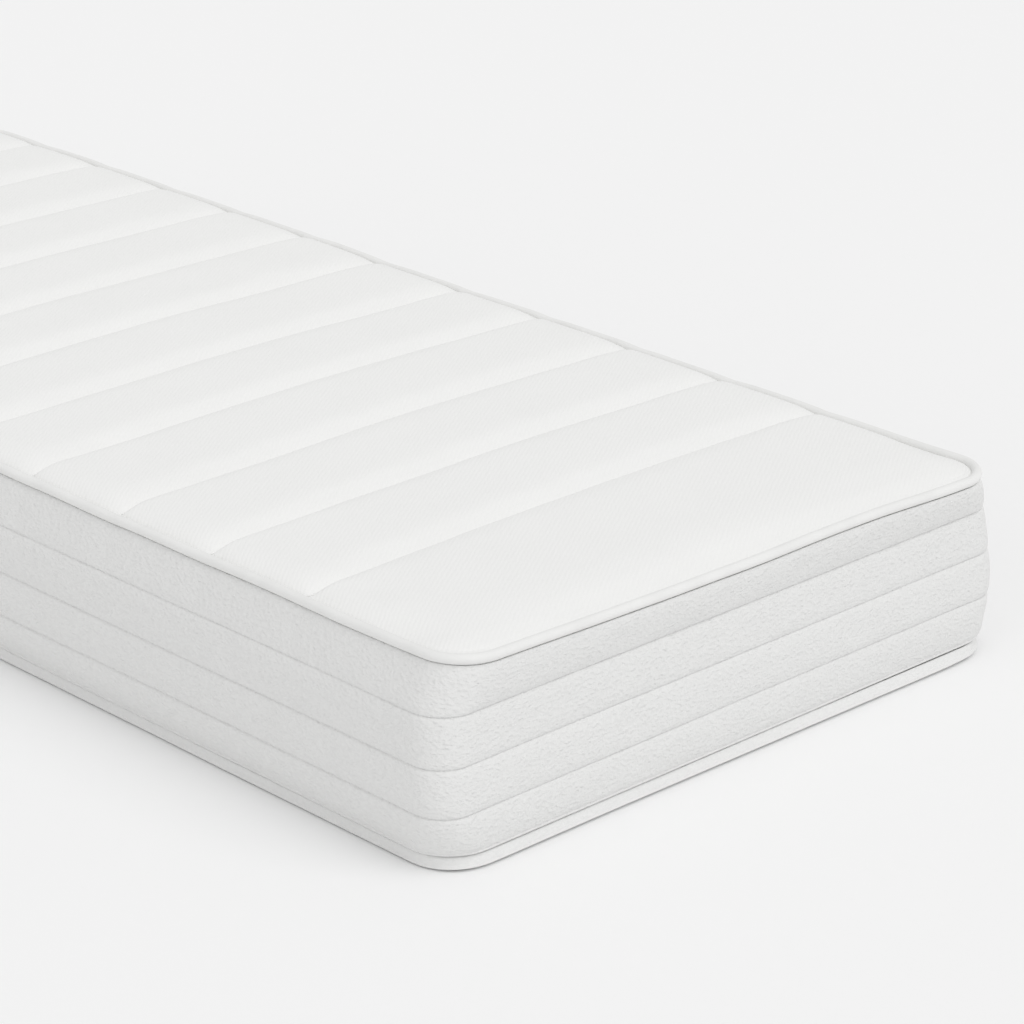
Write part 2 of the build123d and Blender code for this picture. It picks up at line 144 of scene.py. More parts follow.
HEM_PROFILE = [(0.8, 0.9), (1.7, 1.1), (2.5, 0.4), (3.1, 0.1), (4.6, 0.9), (8, 2.0)]    # mm up and out
PUFF = [0, 0.022, 0.055, 0.12, 0.22, 0.36, 0.5, 0.64, 0.78, 0.88, 0.945, 0.978]
PANEL_STEPS = [PUFF[4:], PUFF, PUFF, PUFF[:-2]]          # rows of each panel, as parts of its height
LIP_ROWS = [(2.2, -6.9), (-0.6, -7.5), (-4.0, -8.0), (-7.0, -7.5)]    # mm out and up from the piping
BACK_ROWS = [                     # height, and mm outward from the band's face
    (0.86 * BORDER_TOP, -14),
    (0.7 * BORDER_TOP, -9),
    (0.45 * BORDER_TOP, -5),
    (BORDER_BOTTOM + 18 * MM, -7),
    (BORDER_BOTTOM + 0.5 * MM, -5),
]
PINNED_ROWS = 6                   # rows of the hem that the cloth simulation leaves alone

# ---- the low band at the foot, in mm outward from its face and mm up ---------
BAND_HEIGHT = 16
BAND_SWAY = 0.35 * MM             # how far it wanders outward and up
BAND_FLARE = 4.6 * MM             # how far its lower edge flares at the foot end
FLARE_LIFT, CORNER_LIFT = 2.4 * MM, 3.0 * MM        # and stands off the floor
BAND_CORNERS = [64, 60, 60, 58]
BAND_PROFILE = [
    (-7.0, 1.6), (-5.2, 0.9), (-3.2, 0.8), (-0.6, 1.0), (0.6, 1.4), (1.3, 2.2),
    (1.2, 3.0), (0.7, 3.7), (0.2, 4.2), (0.1, 4.8), (0.3, 7), (0.1, 10.5),
    (-0.4, 13.2), (-0.9, 15.0), (-1.8, 16.0), (-2.8, 15.9), (-3.8, 15.2), (-4.2, 8),
]

# ---- underside and label -----------------------------------------------------
UNDERSIDE_CREASE = 0.25 * MM
UNDERSIDE_EDGE = 0.9 * MM         # how far its edge turns up to the band
UNDERSIDE_THICKNESS = 0.5 * MM
LABEL_ROWS, LABEL_COLS = 18, 12
LABEL_GAP = 0.6 * MM              # from the border's face
LABEL_THICKNESS = 0.35 * MM
LABEL_FOLD = 0.85 * MM            # its thickness at the folded lower edge
LABEL_CURL, LABEL_WAVE = 2.2 * MM, 0.9 * MM

# ---- stitches and cloth simulation -------------------------------------------
TOP_STITCH = {"pitch": 4.4 * MM, "length": 4.3 * MM, "radius": 0.75 * MM, "lift": 0.7 * MM}
BORDER_STITCH = {"pitch": 5.5 * MM, "length": 3.6 * MM, "radius": 0.26 * MM, "lift": -0.1 * MM}
# along a stitch from its middle, thickness, and rise in radii: both ends are sunk in the cloth
STITCH_STATIONS = [(-0.5, 0.3, -0.9), (-0.36, 0.9, 0.0), (0.0, 1.0, 0.35), (0.36, 0.9, 0.0), (0.5, 0.3, -0.9)]
STITCH_SIDES = 6
PRESSURE = 0.8
SLACK = 0.001                     # part of its length that the cloth may grow
LAST_FRAME = 20
TOP_CAP = 1.2 * MM                # the most that a point of the cloth may move
BORDER_CAP = 0.8 * MM


def wave(t, seed):
    """A smooth wandering value from -1 to 1, the same on each run."""
    total = 0.0
    for k, size in enumerate((0.5, 0.3, 0.2)):
        total = total + size * np.sin(t * (k + 1) * 1.618 + seed * (k + 1.7) * 2.39)
    return total


def ease(t):
    """Smooth step from 0 to 1."""
    t = np.clip(t, 0, 1)
    return t * t * (3 - 2 * t)


def between(value, start, end):
    """Smooth step from 0 at start to 1 at end."""
    return ease((value - start) / (end - start))


def through(x, places, values):
    """A smooth curve that levels out at each given value."""
    x = np.clip(x, places[0], places[-1])
    k = np.clip(np.searchsorted(places, x) - 1, 0, len(places) - 2)
    places, values = np.array(places), np.array(values)
    part = ease((x - places[k]) / (places[k + 1] - places[k]))
    return values[k] + (values[k + 1] - values[k]) * part


def settle(x, y):
    """How the used top panel lies: its +X side is drawn in and a little lower than the other."""
    right = between(x, -0.05, 0.43)
    at_foot = between(-y, 0.55, 1.0)
    corner = np.exp(-((x - 0.42) ** 2 + (y + 1.0) ** 2) / 0.16**2)
    dx = -SIDE_DRAWN * np.clip(x / HALF_X, 0, 1) ** 2
    dy = -FOOT_PUSHED * at_foot * np.clip((x + 0.45) / 0.9, 0, 1)
    dz = (HEAD_LIFT * between(y, -0.2, 0.6) - SIDE_DROP) * right - CORNER_DROP * corner
    return dx, dy, dz


# ---- mesh helpers ------------------------------------------------------------
def new_object(name, points, faces):
    """A smooth-shaded mesh object in the scene."""
    mesh = bpy.data.meshes.new(name)
    mesh.from_pydata([tuple(p) for p in points], [], faces)
    mesh.validate()
    mesh.update()
    mesh.polygons.foreach_set("use_smooth", [True] * len(mesh.polygons))
    obj = bpy.data.objects.new(name, mesh)
    bpy.context.scene.collection.objects.link(obj)
    return obj


def grid_faces(rows, cols, close_rows=False, close_cols=False):
    """Quads of a rows x cols lattice whose points are stored row by row."""
    faces = []
    for r in range(rows if close_rows else rows - 1):
        here, above = r * cols, (r + 1) % rows * cols
        for c in range(cols if close_cols else cols - 1):
            c2 = (c + 1) % cols
            faces.append((here + c, here + c2, above + c2, above + c))
    return faces


def lattice_rim(rows, cols):
    """Points round the edge of a lattice, in order."""
    rim = list(range(cols))
    rim += [r * cols + cols - 1 for r in range(1, rows)]
    rim += [(rows - 1) * cols + c for c in range(cols - 2, -1, -1)]
    return rim + [r * cols for r in range(rows - 2, 0, -1)]


def two_sided(rows, cols):
    """Faces of a closed sheet: one lattice, the same lattice behind it, and the walls between."""
    count = rows * cols
    front = grid_faces(rows, cols)
    back = [tuple(v + count for v in reversed(face)) for face in front]
    rim = lattice_rim(rows, cols)
    walls = [(b, a, a + count, b + count) for a, b in zip(rim, rim[1:] + rim[:1])]
    return front + back + walls


def subdivide(obj, sharp=None):
    """Adds a subdivision surface; sharp gives vertex pairs and how sharp their edge stays."""
    if sharp:
        layer = obj.data.attributes.new("crease_edge", "FLOAT", "EDGE")
        for edge in obj.data.edges:
            layer.data[edge.index].value = sharp.get(tuple(sorted(edge.vertices)), 0.0)
    mod = obj.modifiers.new("Subdivision", "SUBSURF")
    mod.levels = 1
    mod.render_levels = 1


# ---- the plan outline --------------------------------------------------------
STRAIGHT_X, STRAIGHT_Y, ARC = 64, 190, 14     # steps on each side and on each corner


def outline(side, foot, radius):
    """Points and outward directions round the plan, anticlockwise from the foot's left end.

    side and foot move the long sides and the ends outward from the band's face. radius is one
    number, or one for each corner from +X foot to -X foot."""
    hx, hy = HALF_X + side, HALF_Y + foot
    radii = radius if isinstance(radius, list) else [radius] * 4
    centres = [
        (hx - radii[0], -hy + radii[0]),
        (hx - radii[1], hy - radii[1]),
        (-hx + radii[2], hy - radii[2]),
        (-hx + radii[3], -hy + radii[3]),
    ]
    points, normals = [], []
    for k, steps in enumerate((STRAIGHT_X, STRAIGHT_Y, STRAIGHT_X, STRAIGHT_Y)):
        turn = -math.pi / 2 + k * math.pi / 2
        last, here = centres[k - 1], centres[k]
        n = (math.cos(turn), math.sin(turn))
        start = (last[0] + n[0] * radii[k - 1], last[1] + n[1] * radii[k - 1])
        end = (here[0] + n[0] * radii[k], here[1] + n[1] * radii[k])
        for i in range(steps):
            t = i / steps
            points.append((start[0] + (end[0] - start[0]) * t, start[1] + (end[1] - start[1]) * t))
            normals.append(n)
        for i in range(ARC):
            angle = turn + math.pi / 2 * i / ARC
            m = (math.cos(angle), math.sin(angle))
            points.append((here[0] + m[0] * radii[k], here[1] + m[1] * radii[k]))
            normals.append(m)
    return np.array(points), np.array(normals)


def seam_pull(points):
    """How near each outline point is to the end of a quilting seam, from 0 to 1."""
    pull = np.zeros(len(points))
    on_side = np.abs(points[:, 0]) > HALF_X - 0.04
    for y, near, far in zip(SEAM_Y, SEAM_NEAR, SEAM_FAR):
        there = y + np.where(points[:, 0] > 0, far * MM - SEAM_HOOK, near * MM)
        pull += np.where(on_side, np.exp(-(((points[:, 1] - there) / 0.022) ** 2)), 0)
    return pull


def edge_line():
    """Centre line of the piping, which the top panel and the border share."""
    points, normals = outline(PIPE_SIDE, PIPE_FOOT, PIPE_CORNER)
    step = np.linalg.norm(np.roll(points, -1, 0) - points, axis=1)
    along = np.concatenate([[0], np.cumsum(step)[:-1]])
    pull = seam_pull(points)
    out = PIPE_SWAY * (wave(along * 9.0, 1.0) - pull)
    x, y = points.T
    up = PIPE_RIPPLE * wave(along * 7.0, 4.0) - PIPE_DIP * pull
    up = up + PIPE_LEFT_RISE * (1 - between(x, -0.45, 0.05))
    at_foot = between(-y, HALF_Y - 0.11, HALF_Y - 0.03)
    up = up + through(x, FOOT_X, FOOT_RISE) * MM * at_foot
    dx, dy, dz = settle(x, y)
    points = points + normals * out[:, None] + np.column_stack([dx, dy])
    return points, normals, PIPE_Z + up + dz


EDGE_XY, EDGE_N, EDGE_Z = edge_line()


def tube(name, out, up, radius, sides):
    """A round bead that follows the piping's line, moved outward and up from it."""
    rows = []
    for k in range(sides):
        angle = 2 * math.pi * k / sides
        ring = EDGE_XY + EDGE_N * (out + radius * math.cos(angle))
        rows.append(np.column_stack([ring, EDGE_Z + (up + radius * math.sin(angle))]))
    return new_object(name, np.concatenate(rows), grid_faces(sides, len(EDGE_XY), True, True))


# ---- quilted top panel -------------------------------------------------------
def row_stations():
    """Y of the panel's inner rows, close together at the seams."""
    foot, head = -HALF_Y - PIPE_FOOT + PIPE_CORNER, HALF_Y + PIPE_FOOT - PIPE_CORNER
    ys = {foot, head}
    for seam in SEAM_Y:
        ys.add(seam)
        for gap in SEAM_GAPS:
            ys.update((seam + gap * MM, seam - gap * MM))
    for seam in SEAM_Y[:-1]:
        ys.add(seam + SEAM_PITCH / 2)
    first, last = SEAM_Y[0] - SEAM_GAPS[-1] * MM, SEAM_Y[-1] + SEAM_GAPS[-1] * MM
    ys.update(first + (foot - first) * k / END_STEPS for k in range(1, END_STEPS))
    ys.update(last + (head - last) * k / HEAD_STEPS for k in range(1, HEAD_STEPS))
    ys = {round(y, 6) for y in ys}
    return sorted(y for y in ys if foot <= y <= head)


ROWS_Y = row_stations()
NX, NY = INNER_X + 2 * RIM, len(ROWS_Y) - 1 + 2 * RIM


def plan_point(i, j):
    """Plan position of one lattice point, and its distance in from the piping."""
    hx, hy = HALF_X + PIPE_SIDE, HALF_Y + PIPE_FOOT
    cx, cy = hx - PIPE_CORNER, hy - PIPE_CORNER
    ri, rj = min(i, NX - i), min(j, NY - j)
    sx = -1 if i < NX / 2 else 1
    sy = -1 if j < NY / 2 else 1
    inner_x = -cx + 2 * cx * (i - RIM) / INNER_X
    if ri >= RIM and rj >= RIM:
        y = ROWS_Y[j - RIM]
        return inner_x, y, min(hx - abs(inner_x), hy - abs(y))
    if ri >= RIM:
        d = RINGS[rj] * MM
        return inner_x, sy * (hy - d), d
    if rj >= RIM:
        d = RINGS[ri] * MM
        return sx * (hx - d), ROWS_Y[j - RIM], d
    ring = min(ri, rj)
    d = RINGS[ring] * MM
    part = (max(ri, rj) - ring) / (RIM - ring)
    angle = math.pi / 4 * (1 + part * (1 if rj == ring else -1))
    reach = PIPE_CORNER - d
    return sx * (cx + reach * math.cos(angle)), sy * (cy + reach * math.sin(angle)), d


def top_plan():
    """X, Y and distance in from the piping, for each lattice point of the top panel."""
    grid = np.array([[plan_point(i, j) for i in range(NX + 1)] for j in range(NY + 1)])
    return grid[..., 0], grid[..., 1], grid[..., 2]


def seam_wander(x, y):
    """How far a seam strays along the length at each x."""
    near = np.interp(y, SEAM_Y, SEAM_NEAR) * MM
    far = np.interp(y, SEAM_Y, SEAM_FAR) * MM
    slant = near + (far - near) * (x + HALF_X) / (2 * HALF_X)
    slant = slant + SEAM_BOW * np.cos(np.clip(x / HALF_X, -1, 1) * 1.57)
    slant = slant - SEAM_HOOK * between(x, HALF_X - 0.115, HALF_X - 0.025)
    return slant + 1.0 * MM * wave(x * 7.0 + y * 3.1, 2.0) + 0.4 * MM * np.sin(x * 61 + y * 17)


def crown_share(y):
    """0 on a seam and 1 on a channel's crest: a long slope beyond each seam, a short one before it."""
    share = np.ones_like(y)
    for seam in SEAM_Y:
        beyond = 1 - np.clip((y - seam) / LONG_SLOPE, 0, 1)
        before = 1 - np.clip((seam - y) / SHORT_SLOPE, 0, 1)
        dip = np.where(y >= seam, beyond**LONG_POWER, before**SHORT_POWER)
        nip = NIP * np.exp(-np.abs(y - seam) / NIP_REACH)
        share = np.minimum(share, 1 - (1 - NIP) * dip - nip)
    return share


def top_height(d, share, x, y):
    """Height of the top cloth before it meets the piping."""
    d = np.maximum(d - LIP * MM, 0)
    lip = PIPE_Z + CLOTH_OVER
    seam_rise = 1 - (1 - np.clip(d / SEAM_REACH, 0, 1)) ** 2
    at_foot = between(-y, HALF_Y - 0.17, HALF_Y - 0.05)
    reach = CREST_REACH + (FOOT_CREST_REACH - CREST_REACH) * at_foot
    crest_rise = (1 - (1 - np.clip(d / reach, 0, 1)) ** 2.3) ** 0.85
    seam_z = lip + (VALLEY - lip) * seam_rise
    crest_z = lip + (CROWN - lip) * crest_rise
    z = seam_z + (crest_z - seam_z) * share
    return z + TOP_RIPPLE * wave(x * 5.0 + y * 4.0, 7.0) * np.clip(d / (80 * MM), 0, 1)


def turn_under(x, y, z, dist):
    """Height of the cloth where it dips under the piping, with the sewn groove beside it."""
    rise = np.sqrt(np.clip(dist / (LIP * MM), 0, 1))
    under_pipe = PIPE_Z - CLOTH_UNDER + (CLOTH_UNDER + CLOTH_OVER) * rise
    z = np.where(dist < LIP * MM, under_pipe, z)
    at_ends = between(np.abs(y), HALF_Y - 0.06, HALF_Y - 0.01)
    depth = SIDE_GROOVE + (END_GROOVE - SIDE_GROOVE) * at_ends
    z = z - depth * np.exp(-(((dist - GROOVE * MM) / GROOVE_WIDTH) ** 2))
    # along the +X side the cloth meets the piping lower down and shows the piping's inner flank
    right = between(x, HALF_X - 0.075, HALF_X - 0.035)
    return z - FLANK_DROP * right * (1 - between(dist, 0, FLANK_REACH))


def edge_shift(x, y, dist):
    """How far the cloth near the rim moves with the piping's wander."""
    base, _ = outline(PIPE_SIDE, PIPE_FOOT, PIPE_CORNER)
    settled = np.column_stack(settle(base[:, 0], base[:, 1]))
    wander = np.column_stack([EDGE_XY - base, EDGE_Z - PIPE_Z]) - settled
    fade = np.clip(1 - dist / EDGE_REACH, 0, 1)
    near = fade > 0
    spots = np.column_stack([x[near], y[near]])
    nearest = [int(np.argmin(((base - spot) ** 2).sum(axis=1))) for spot in spots]
    shift = np.zeros((*dist.shape, 3))
    shift[near] = wander[nearest] * fade[near][:, None]
    return shift


def top_surface():
    """Points of the top cloth, and each one's distance in from the piping."""
    x, y, dist = top_plan()
    z = top_height(dist, crown_share(y), x, y)
    z = turn_under(x, y, z, dist)
    points = np.stack([x, y, z], axis=-1) + edge_shift(x, y, dist)
    x, y, z = points[..., 0], points[..., 1], points[..., 2]
    side_in = np.clip((HALF_X - 0.016 - np.abs(x)) / (12 * MM), 0, 1)
    end_in = between(HALF_Y - np.abs(y), 0, 0.2)
    y = y + seam_wander(x, y) * side_in * end_in
    dx, dy, dz = settle(x, y)
    return np.stack([x + dx, y + dy, z + dz], axis=-1), dist


def top_creases(rows, cols, seam_rows):
    """Edges of the top cloth that stay sharp: its seams, and the groove beside the piping."""
    def ring(r, c):
        return min(r, c, rows - 1 - r, cols - 1 - c)

    sharp = {}
    for r in seam_rows:
        for c in range(SEAM_START, cols - SEAM_START - 1):
            sharp[(r * cols + c, r * cols + c + 1)] = SEAM_SHARPNESS
    groove = RINGS.index(GROOVE)
    for r in range(rows):
        for c in range(cols):
            for r2, c2 in ((r, c + 1), (r + 1, c)):
                if ring(r, c) == groove and ring(r2, c2) == groove:
                    sharp[(r * cols + c, r2 * cols + c2)] = GROOVE_SHARPNESS
    return sharp


def make_top():
    """The quilted panel, its seam lines, and the points that are sewn down."""
    points, dist = top_surface()
    rows, cols = dist.shape
    under = points.copy()
    under[..., 2] = np.minimum(UNDER_TOP, points[..., 2] - TOP_THICKNESS)
    both = np.concatenate([points.reshape(-1, 3), under.reshape(-1, 3)])
    obj = new_object("quilted_top", both, two_sided(rows, cols))
    seam_rows = [RIM + k for k, y in enumerate(ROWS_Y) if min(abs(y - s) for s in SEAM_Y) < 1e-5]
    subdivide(obj, top_creases(rows, cols, seam_rows))
    sewn = list(range(rows * cols, 2 * rows * cols))
    sewn += [r * cols + c for r in seam_rows for c in range(cols)]
    sewn += [int(k) for k in np.where(dist.ravel() < SEWN_RIM)[0]]
    return obj, [points[r, SEAM_START:-SEAM_START] for r in seam_rows], sewn


# ---- quilted border ----------------------------------------------------------
def curve_through(values):
    """A smooth curve through the values at the hem and at the three stitch lines."""
    return np.polynomial.Polynomial.fit([BORDER_BOTTOM, *STITCH_Z], values, len(values) - 1)


# mm at any height between the hem and the third stitch line
SIDE_AT, FOOT_AT, CORNER_AT, DROP_AT = (curve_through(v) for v in (SIDE_S, FOOT_S, CORNERS, STITCH_DROP))
LIP_XY = EDGE_XY + EDGE_N * LIP_OUT
LIP_DOWN = TUCK - (TUCK - LEFT_TUCK) * between(-EDGE_XY[:, 0], 0.40, 0.43)


def border_rows():
    """Outer rows from the hem up: height, share of the way to the piping, swell and stitch flag."""
    rows = [(BORDER_BOTTOM, 0.0, 0.0, False)]
    rows += [(BORDER_BOTTOM + up * MM, 0.0, out * MM, False) for up, out in HEM_PROFILE]
    levels = [BORDER_BOTTOM, *STITCH_Z, PIPE_Z - TUCK]
    for k, steps in enumerate(PANEL_STEPS):
        for t in steps:
            z = levels[k] + (levels[k + 1] - levels[k]) * t
            swell = SWELL * (1 - abs(2 * t - 1) ** 5)
            rows.append((z, t if k == 3 else 0.0, swell, t == 0 and k > 0))
    rows.append((PIPE_Z - TUCK, 1.0, 0.0, False))
    return rows


def hem_drop(points):
    """How far the hem hangs into the zip's slit; it stays clear of the slider's run on the +X side."""
    x, y = points.T
    on_zip = between(x, HALF_X - 0.05, HALF_X - 0.01) * between(HALF_Y - np.abs(y), 0.072, 0.102)
    at_foot = between(-y, HALF_Y - 0.05, HALF_Y - 0.01)
    return (HEM_DROP + (FOOT_HEM_DROP - HEM_DROP) * at_foot) * (1 - on_zip)


def outer_row(z0, share, swell, stitched):
    """Points of one outer row; share blends it into the lip under the piping."""
    base_z = min(z0, STITCH_Z[2])
    at_hem = base_z == BORDER_BOTTOM
    radius = HEM_CORNER if at_hem else float(CORNER_AT(base_z)) * MM
    points, normals = outline(float(SIDE_AT(base_z)) * MM, float(FOOT_AT(base_z)) * MM, radius)
    along = np.arange(len(points))
    sway = BORDER_SWAY * wave(along * 0.05 + z0 * 20, 3.0)
    points = points + normals * sway[:, None] * (1 - share)
    above_hem = between(base_z, BORDER_BOTTOM, BORDER_BOTTOM + 30 * MM)
    points[:, 0] -= LEFT_OUT * (1 - share) * above_hem * (points[:, 0] < -0.38)
    points[:, 0] -= RIGHT_IN * (1 - share**2) * above_hem * (points[:, 0] > 0.38)
    points = points * (1 - share) + LIP_XY * share
    crease = CREASE if stitched else 0
    points = points + normals * (swell + TOP_SWELL * share * (1 - share) - crease)
    left = np.clip((0.35 - points[:, 0]) / 0.75, 0, 1)
    wander = STITCH_SWAY * wave(along * 0.03, 5.0) - float(DROP_AT(base_z)) * MM * left
    if share > 0:
        z = STITCH_Z[2] + wander
        z = z + (EDGE_Z - LIP_DOWN - z) * share
    else:
        z = base_z + wander * min((base_z - BORDER_BOTTOM) / (20 * MM), 1)
    if at_hem:
        z = z - hem_drop(points)
    return np.column_stack([points, z])


def lip_row(out, up):
    """Points of one row under the piping, out and up in mm from the piping's centre line."""
    extra = (TUCK - LIP_DOWN) * (out > 0)
    return np.column_stack([EDGE_XY + EDGE_N * out * MM, EDGE_Z + up * MM + extra])


def back_row(z, out):
    """Points of one level row on the inner face, out in mm from the band's face."""
    points, _ = outline(out * MM, out * MM, CORNER + out * MM)
    return np.column_stack([points, np.full(len(points), z)])


def make_border():
    """The border cloth, its stitch lines, the points that are sewn down, and its outer rows."""
    rows = border_rows()
    outer = [outer_row(*row) for row in rows]
    lattice = outer + [lip_row(*row) for row in LIP_ROWS] + [back_row(*row) for row in BACK_ROWS]
    count = len(EDGE_XY)
    faces = grid_faces(len(lattice), count, True, True)
    obj = new_object("quilted_border", np.concatenate(lattice), faces)
    seams = [k for k, row in enumerate(rows) if row[3]]
    sharp = {}
    for k in [0, *seams]:
        for c in range(count):
            pair = sorted((k * count + c, k * count + (c + 1) % count))
            sharp[tuple(pair)] = STITCH_SHARPNESS
    subdivide(obj, sharp)
    top_edge = len(outer) - 1
    held = [k for k in range(len(lattice)) if k < PINNED_ROWS or k >= top_edge or k in seams]
    sewn = [k * count + c for k in held for c in range(count)]
    return obj, [outer[k] for k in seams], sewn, outer


# ---- bottom band, underside --------------------------------------------------
def band_ring(out, up):
    """Points of one row round the band, out and up in mm."""
    points, normals = outline(out * MM, out * MM, [(r + out) * MM for r in BAND_CORNERS])
    along = np.arange(len(points))
    sway = BAND_SWAY * wave(along * 0.06, 8.0) * (out > -1)
    lift = BAND_SWAY * wave(along * 0.05, 9.0) * min(up / BAND_HEIGHT, 1)
    points = points + normals * sway[:, None]
    at_foot = between(-points[:, 1], HALF_Y - 0.12, HALF_Y - 0.02)
    right = np.clip((points[:, 0] + 0.2) / 0.6, 0, 1) * at_foot
    points[:, 1] -= (4.5 - 0.2 * up) * MM * right
    # at the foot end the hem flares and its lower edge stands off the floor
    faces_foot = between(-normals[:, 1], 0.25, 0.875)
    flare = faces_foot * np.clip((out + 4) / 4, 0, 1) * max(1 - up / BAND_HEIGHT, 0)
    near_corner = ((points[:, 0] - 0.44) / 0.07) ** 2 + ((points[:, 1] + 0.98) / 0.06) ** 2
    if up < BAND_HEIGHT / 2:
        lift = lift + FLARE_LIFT * flare + CORNER_LIFT * np.exp(-near_corner)
    outward = BAND_FLARE * flare * (1 - between(points[:, 0], 0.36, 0.44))
    return np.column_stack([points + normals * outward[:, None], up * MM + lift])


def make_band():
    """Low band with a rolled hem at the floor and a turned edge below the zip."""
    rings = [band_ring(*place) for place in BAND_PROFILE]
    faces = grid_faces(len(rings), len(rings[0]), True, True)
    obj = new_object("foot_band", np.concatenate(rings), faces)
    subdivide(obj)
    return obj


def make_underside():
    """The cloth under the foam, stretched to the band and sewn to it, with slack creases."""
    low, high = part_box("bottom_panel")
    x, y, dist = top_plan()
    x = x * (high.x / (HALF_X + PIPE_SIDE))
    y = y * (high.y / (HALF_Y + PIPE_FOOT))
    creases = 1 + wave(x * 23 + y * 9, 3.0) * wave(y * 17 - x * 6, 5.0)
    z = low.z + UNDERSIDE_CREASE * creases * between(dist, 0, 40 * MM)
    z = z + UNDERSIDE_EDGE * (1 - between(dist, 0, 7 * MM))
    z = np.minimum(z, high.z - 0.2 * MM)
    z = z - z.min() + low.z
    bottom = np.stack([x, y, z], axis=-1).reshape(-1, 3)
    upper = bottom + np.array([0, 0, UNDERSIDE_THICKNESS])
    faces = [tuple(reversed(face)) for face in two_sided(*x.shape)]
    obj = new_object("underside", np.concatenate([bottom, upper]), faces)
    return obj, (2 * high.x, 2 * high.y)


# ---- label -------------------------------------------------------------------
def border_face(outer, x, zs):
    """Y of the border's face at the head end, at the given x and heights from the top down."""
    outer = np.array(outer)
    head = np.where(outer[0][:, 1] > HALF_Y - 2 * MM)[0]
    middle = head[np.argmin(np.abs(outer[0][head, 0] - x))]
    column = outer[:, middle]
    order = np.argsort(column[:, 2])
    return np.maximum.accumulate(np.interp(zs, column[order, 2], column[order, 1]))


def make_label(outer):
    """Blank woven label, caught under the piping at the head end and hanging free below."""
    low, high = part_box("care_label")
    rows, cols = LABEL_ROWS, LABEL_COLS
    zs = np.linspace(high.z, low.z, rows)
    ys = border_face(outer, (low.x + high.x) / 2, zs) + LABEL_GAP
    points = []
    for side in (0, 1):
        for r in range(rows):
            drop = r / (rows - 1)
            thickness = LABEL_FOLD if r >= rows - 2 else LABEL_THICKNESS
            for c in range(cols):
                u = c / (cols - 1)
                curl = LABEL_CURL * drop**3 + LABEL_WAVE * drop**2 * math.sin(u * 5.0 + 0.6)
                x = low.x + (high.x - low.x) * u
                points.append((x, ys[r] + curl + side * thickness, zs[r]))
    obj = new_object("label", points, two_sided(rows, cols))
    subdivide(obj)
    return obj, (high.x - low.x, high.z - low.z)


# ---- stitches ----------------------------------------------------------------
def resample(line, pitch, closed):
    """Evenly spaced points along a line, and the line's direction at each."""
    line = np.asarray(line)
    if closed:
        line = np.concatenate([line, line[:1]])
    step = np.linalg.norm(np.diff(line, axis=0), axis=1)
    along = np.concatenate([[0], np.cumsum(step)])

    def places(at):
        return np.column_stack([np.interp(at, along, line[:, k]) for k in range(3)])

    count = max(int(along[-1] / pitch), 2)
    at = (np.arange(count) + 0.5) * along[-1] / count
    tangent = places(np.minimum(at + MM, along[-1])) - places(np.maximum(at - MM, 0))
    return places(at), tangent / np.linalg.norm(tangent, axis=1)[:, None]


def thread_faces(base):
    """Faces of one stitch whose points start at base."""
    sides, rings = STITCH_SIDES, len(STITCH_STATIONS)
    faces = []
    for r in range(rings - 1):
        a = base + r * sides
        for k in range(sides):
            k2 = (k + 1) % sides
            faces.append((a + k, a + k2, a + sides + k2, a + sides + k))
    last = base + (rings - 1) * sides
    faces.append(tuple(base + k for k in reversed(range(sides))))
    faces.append(tuple(last + k for k in range(sides)))
    return faces


def make_stitches(name, lines, closed, upward, pitch, length, radius, lift):
    """Short raised lengths of thread that follow each line, sunk at both ends."""
    points, faces = [], []
    for line in lines:
        centre, tangent = resample(line, pitch, closed)
        up = np.tile([0.0, 0.0, 1.0], (len(centre), 1))
        if not upward:
            up = np.cross(tangent, up)
        side = np.cross(tangent, up)
        side = side / np.linalg.norm(side, axis=1)[:, None]
        up = np.cross(side, tangent)
        for c, t, u, s in zip(centre, tangent, up, side):
            faces += thread_faces(len(points))
            for at, size, rise in STITCH_STATIONS:
                middle = c + t * at * length + u * (lift + rise * radius)
                for k in range(STITCH_SIDES):
                    angle = 2 * math.pi * k / STITCH_SIDES
                    points.append(middle + (u * math.cos(angle) + s * math.sin(angle)) * radius * size)
    return new_object(name, points, faces)


# ---- cloth -------------------------------------------------------------------
def add_cloth(obj, sewn):
    """Puts a Cloth modifier with pressure and no gravity first on the object."""
    group = obj.vertex_groups.new(name="sewn")
    group.add([int(v) for v in sewn], 1.0, "REPLACE")
    cloth = obj.modifiers.new("Cloth", "CLOTH")
    settings = cloth.settings
    settings.quality = 4
    settings.mass = 0.25
    settings.tension_stiffness = 25
    settings.compression_stiffness = 25
    settings.shear_stiffness = 8
    settings.bending_stiffness = 1.5
    settings.tension_damping = 15
    settings.compression_damping = 15
    settings.use_pressure = True
    settings.uniform_pressure_force = PRESSURE
    settings.vertex_group_mass = "sewn"
    settings.shrink_min = -SLACK
    settings.effector_weights.gravity = 0
    cloth.collision_settings.use_collision = False
    cloth.point_cache.frame_start = 1
    cloth.point_cache.frame_end = LAST_FRAME
    while obj.modifiers.find("Cloth") > 0:
        obj.modifiers.move(obj.modifiers.find("Cloth"), 0)
    return cloth


def vertex_places(mesh):
    """The mesh's points as a table of x, y and z."""
    places = np.empty(len(mesh.vertices) * 3)
    mesh.vertices.foreach_get("co", places)
    return places.reshape(-1, 3)


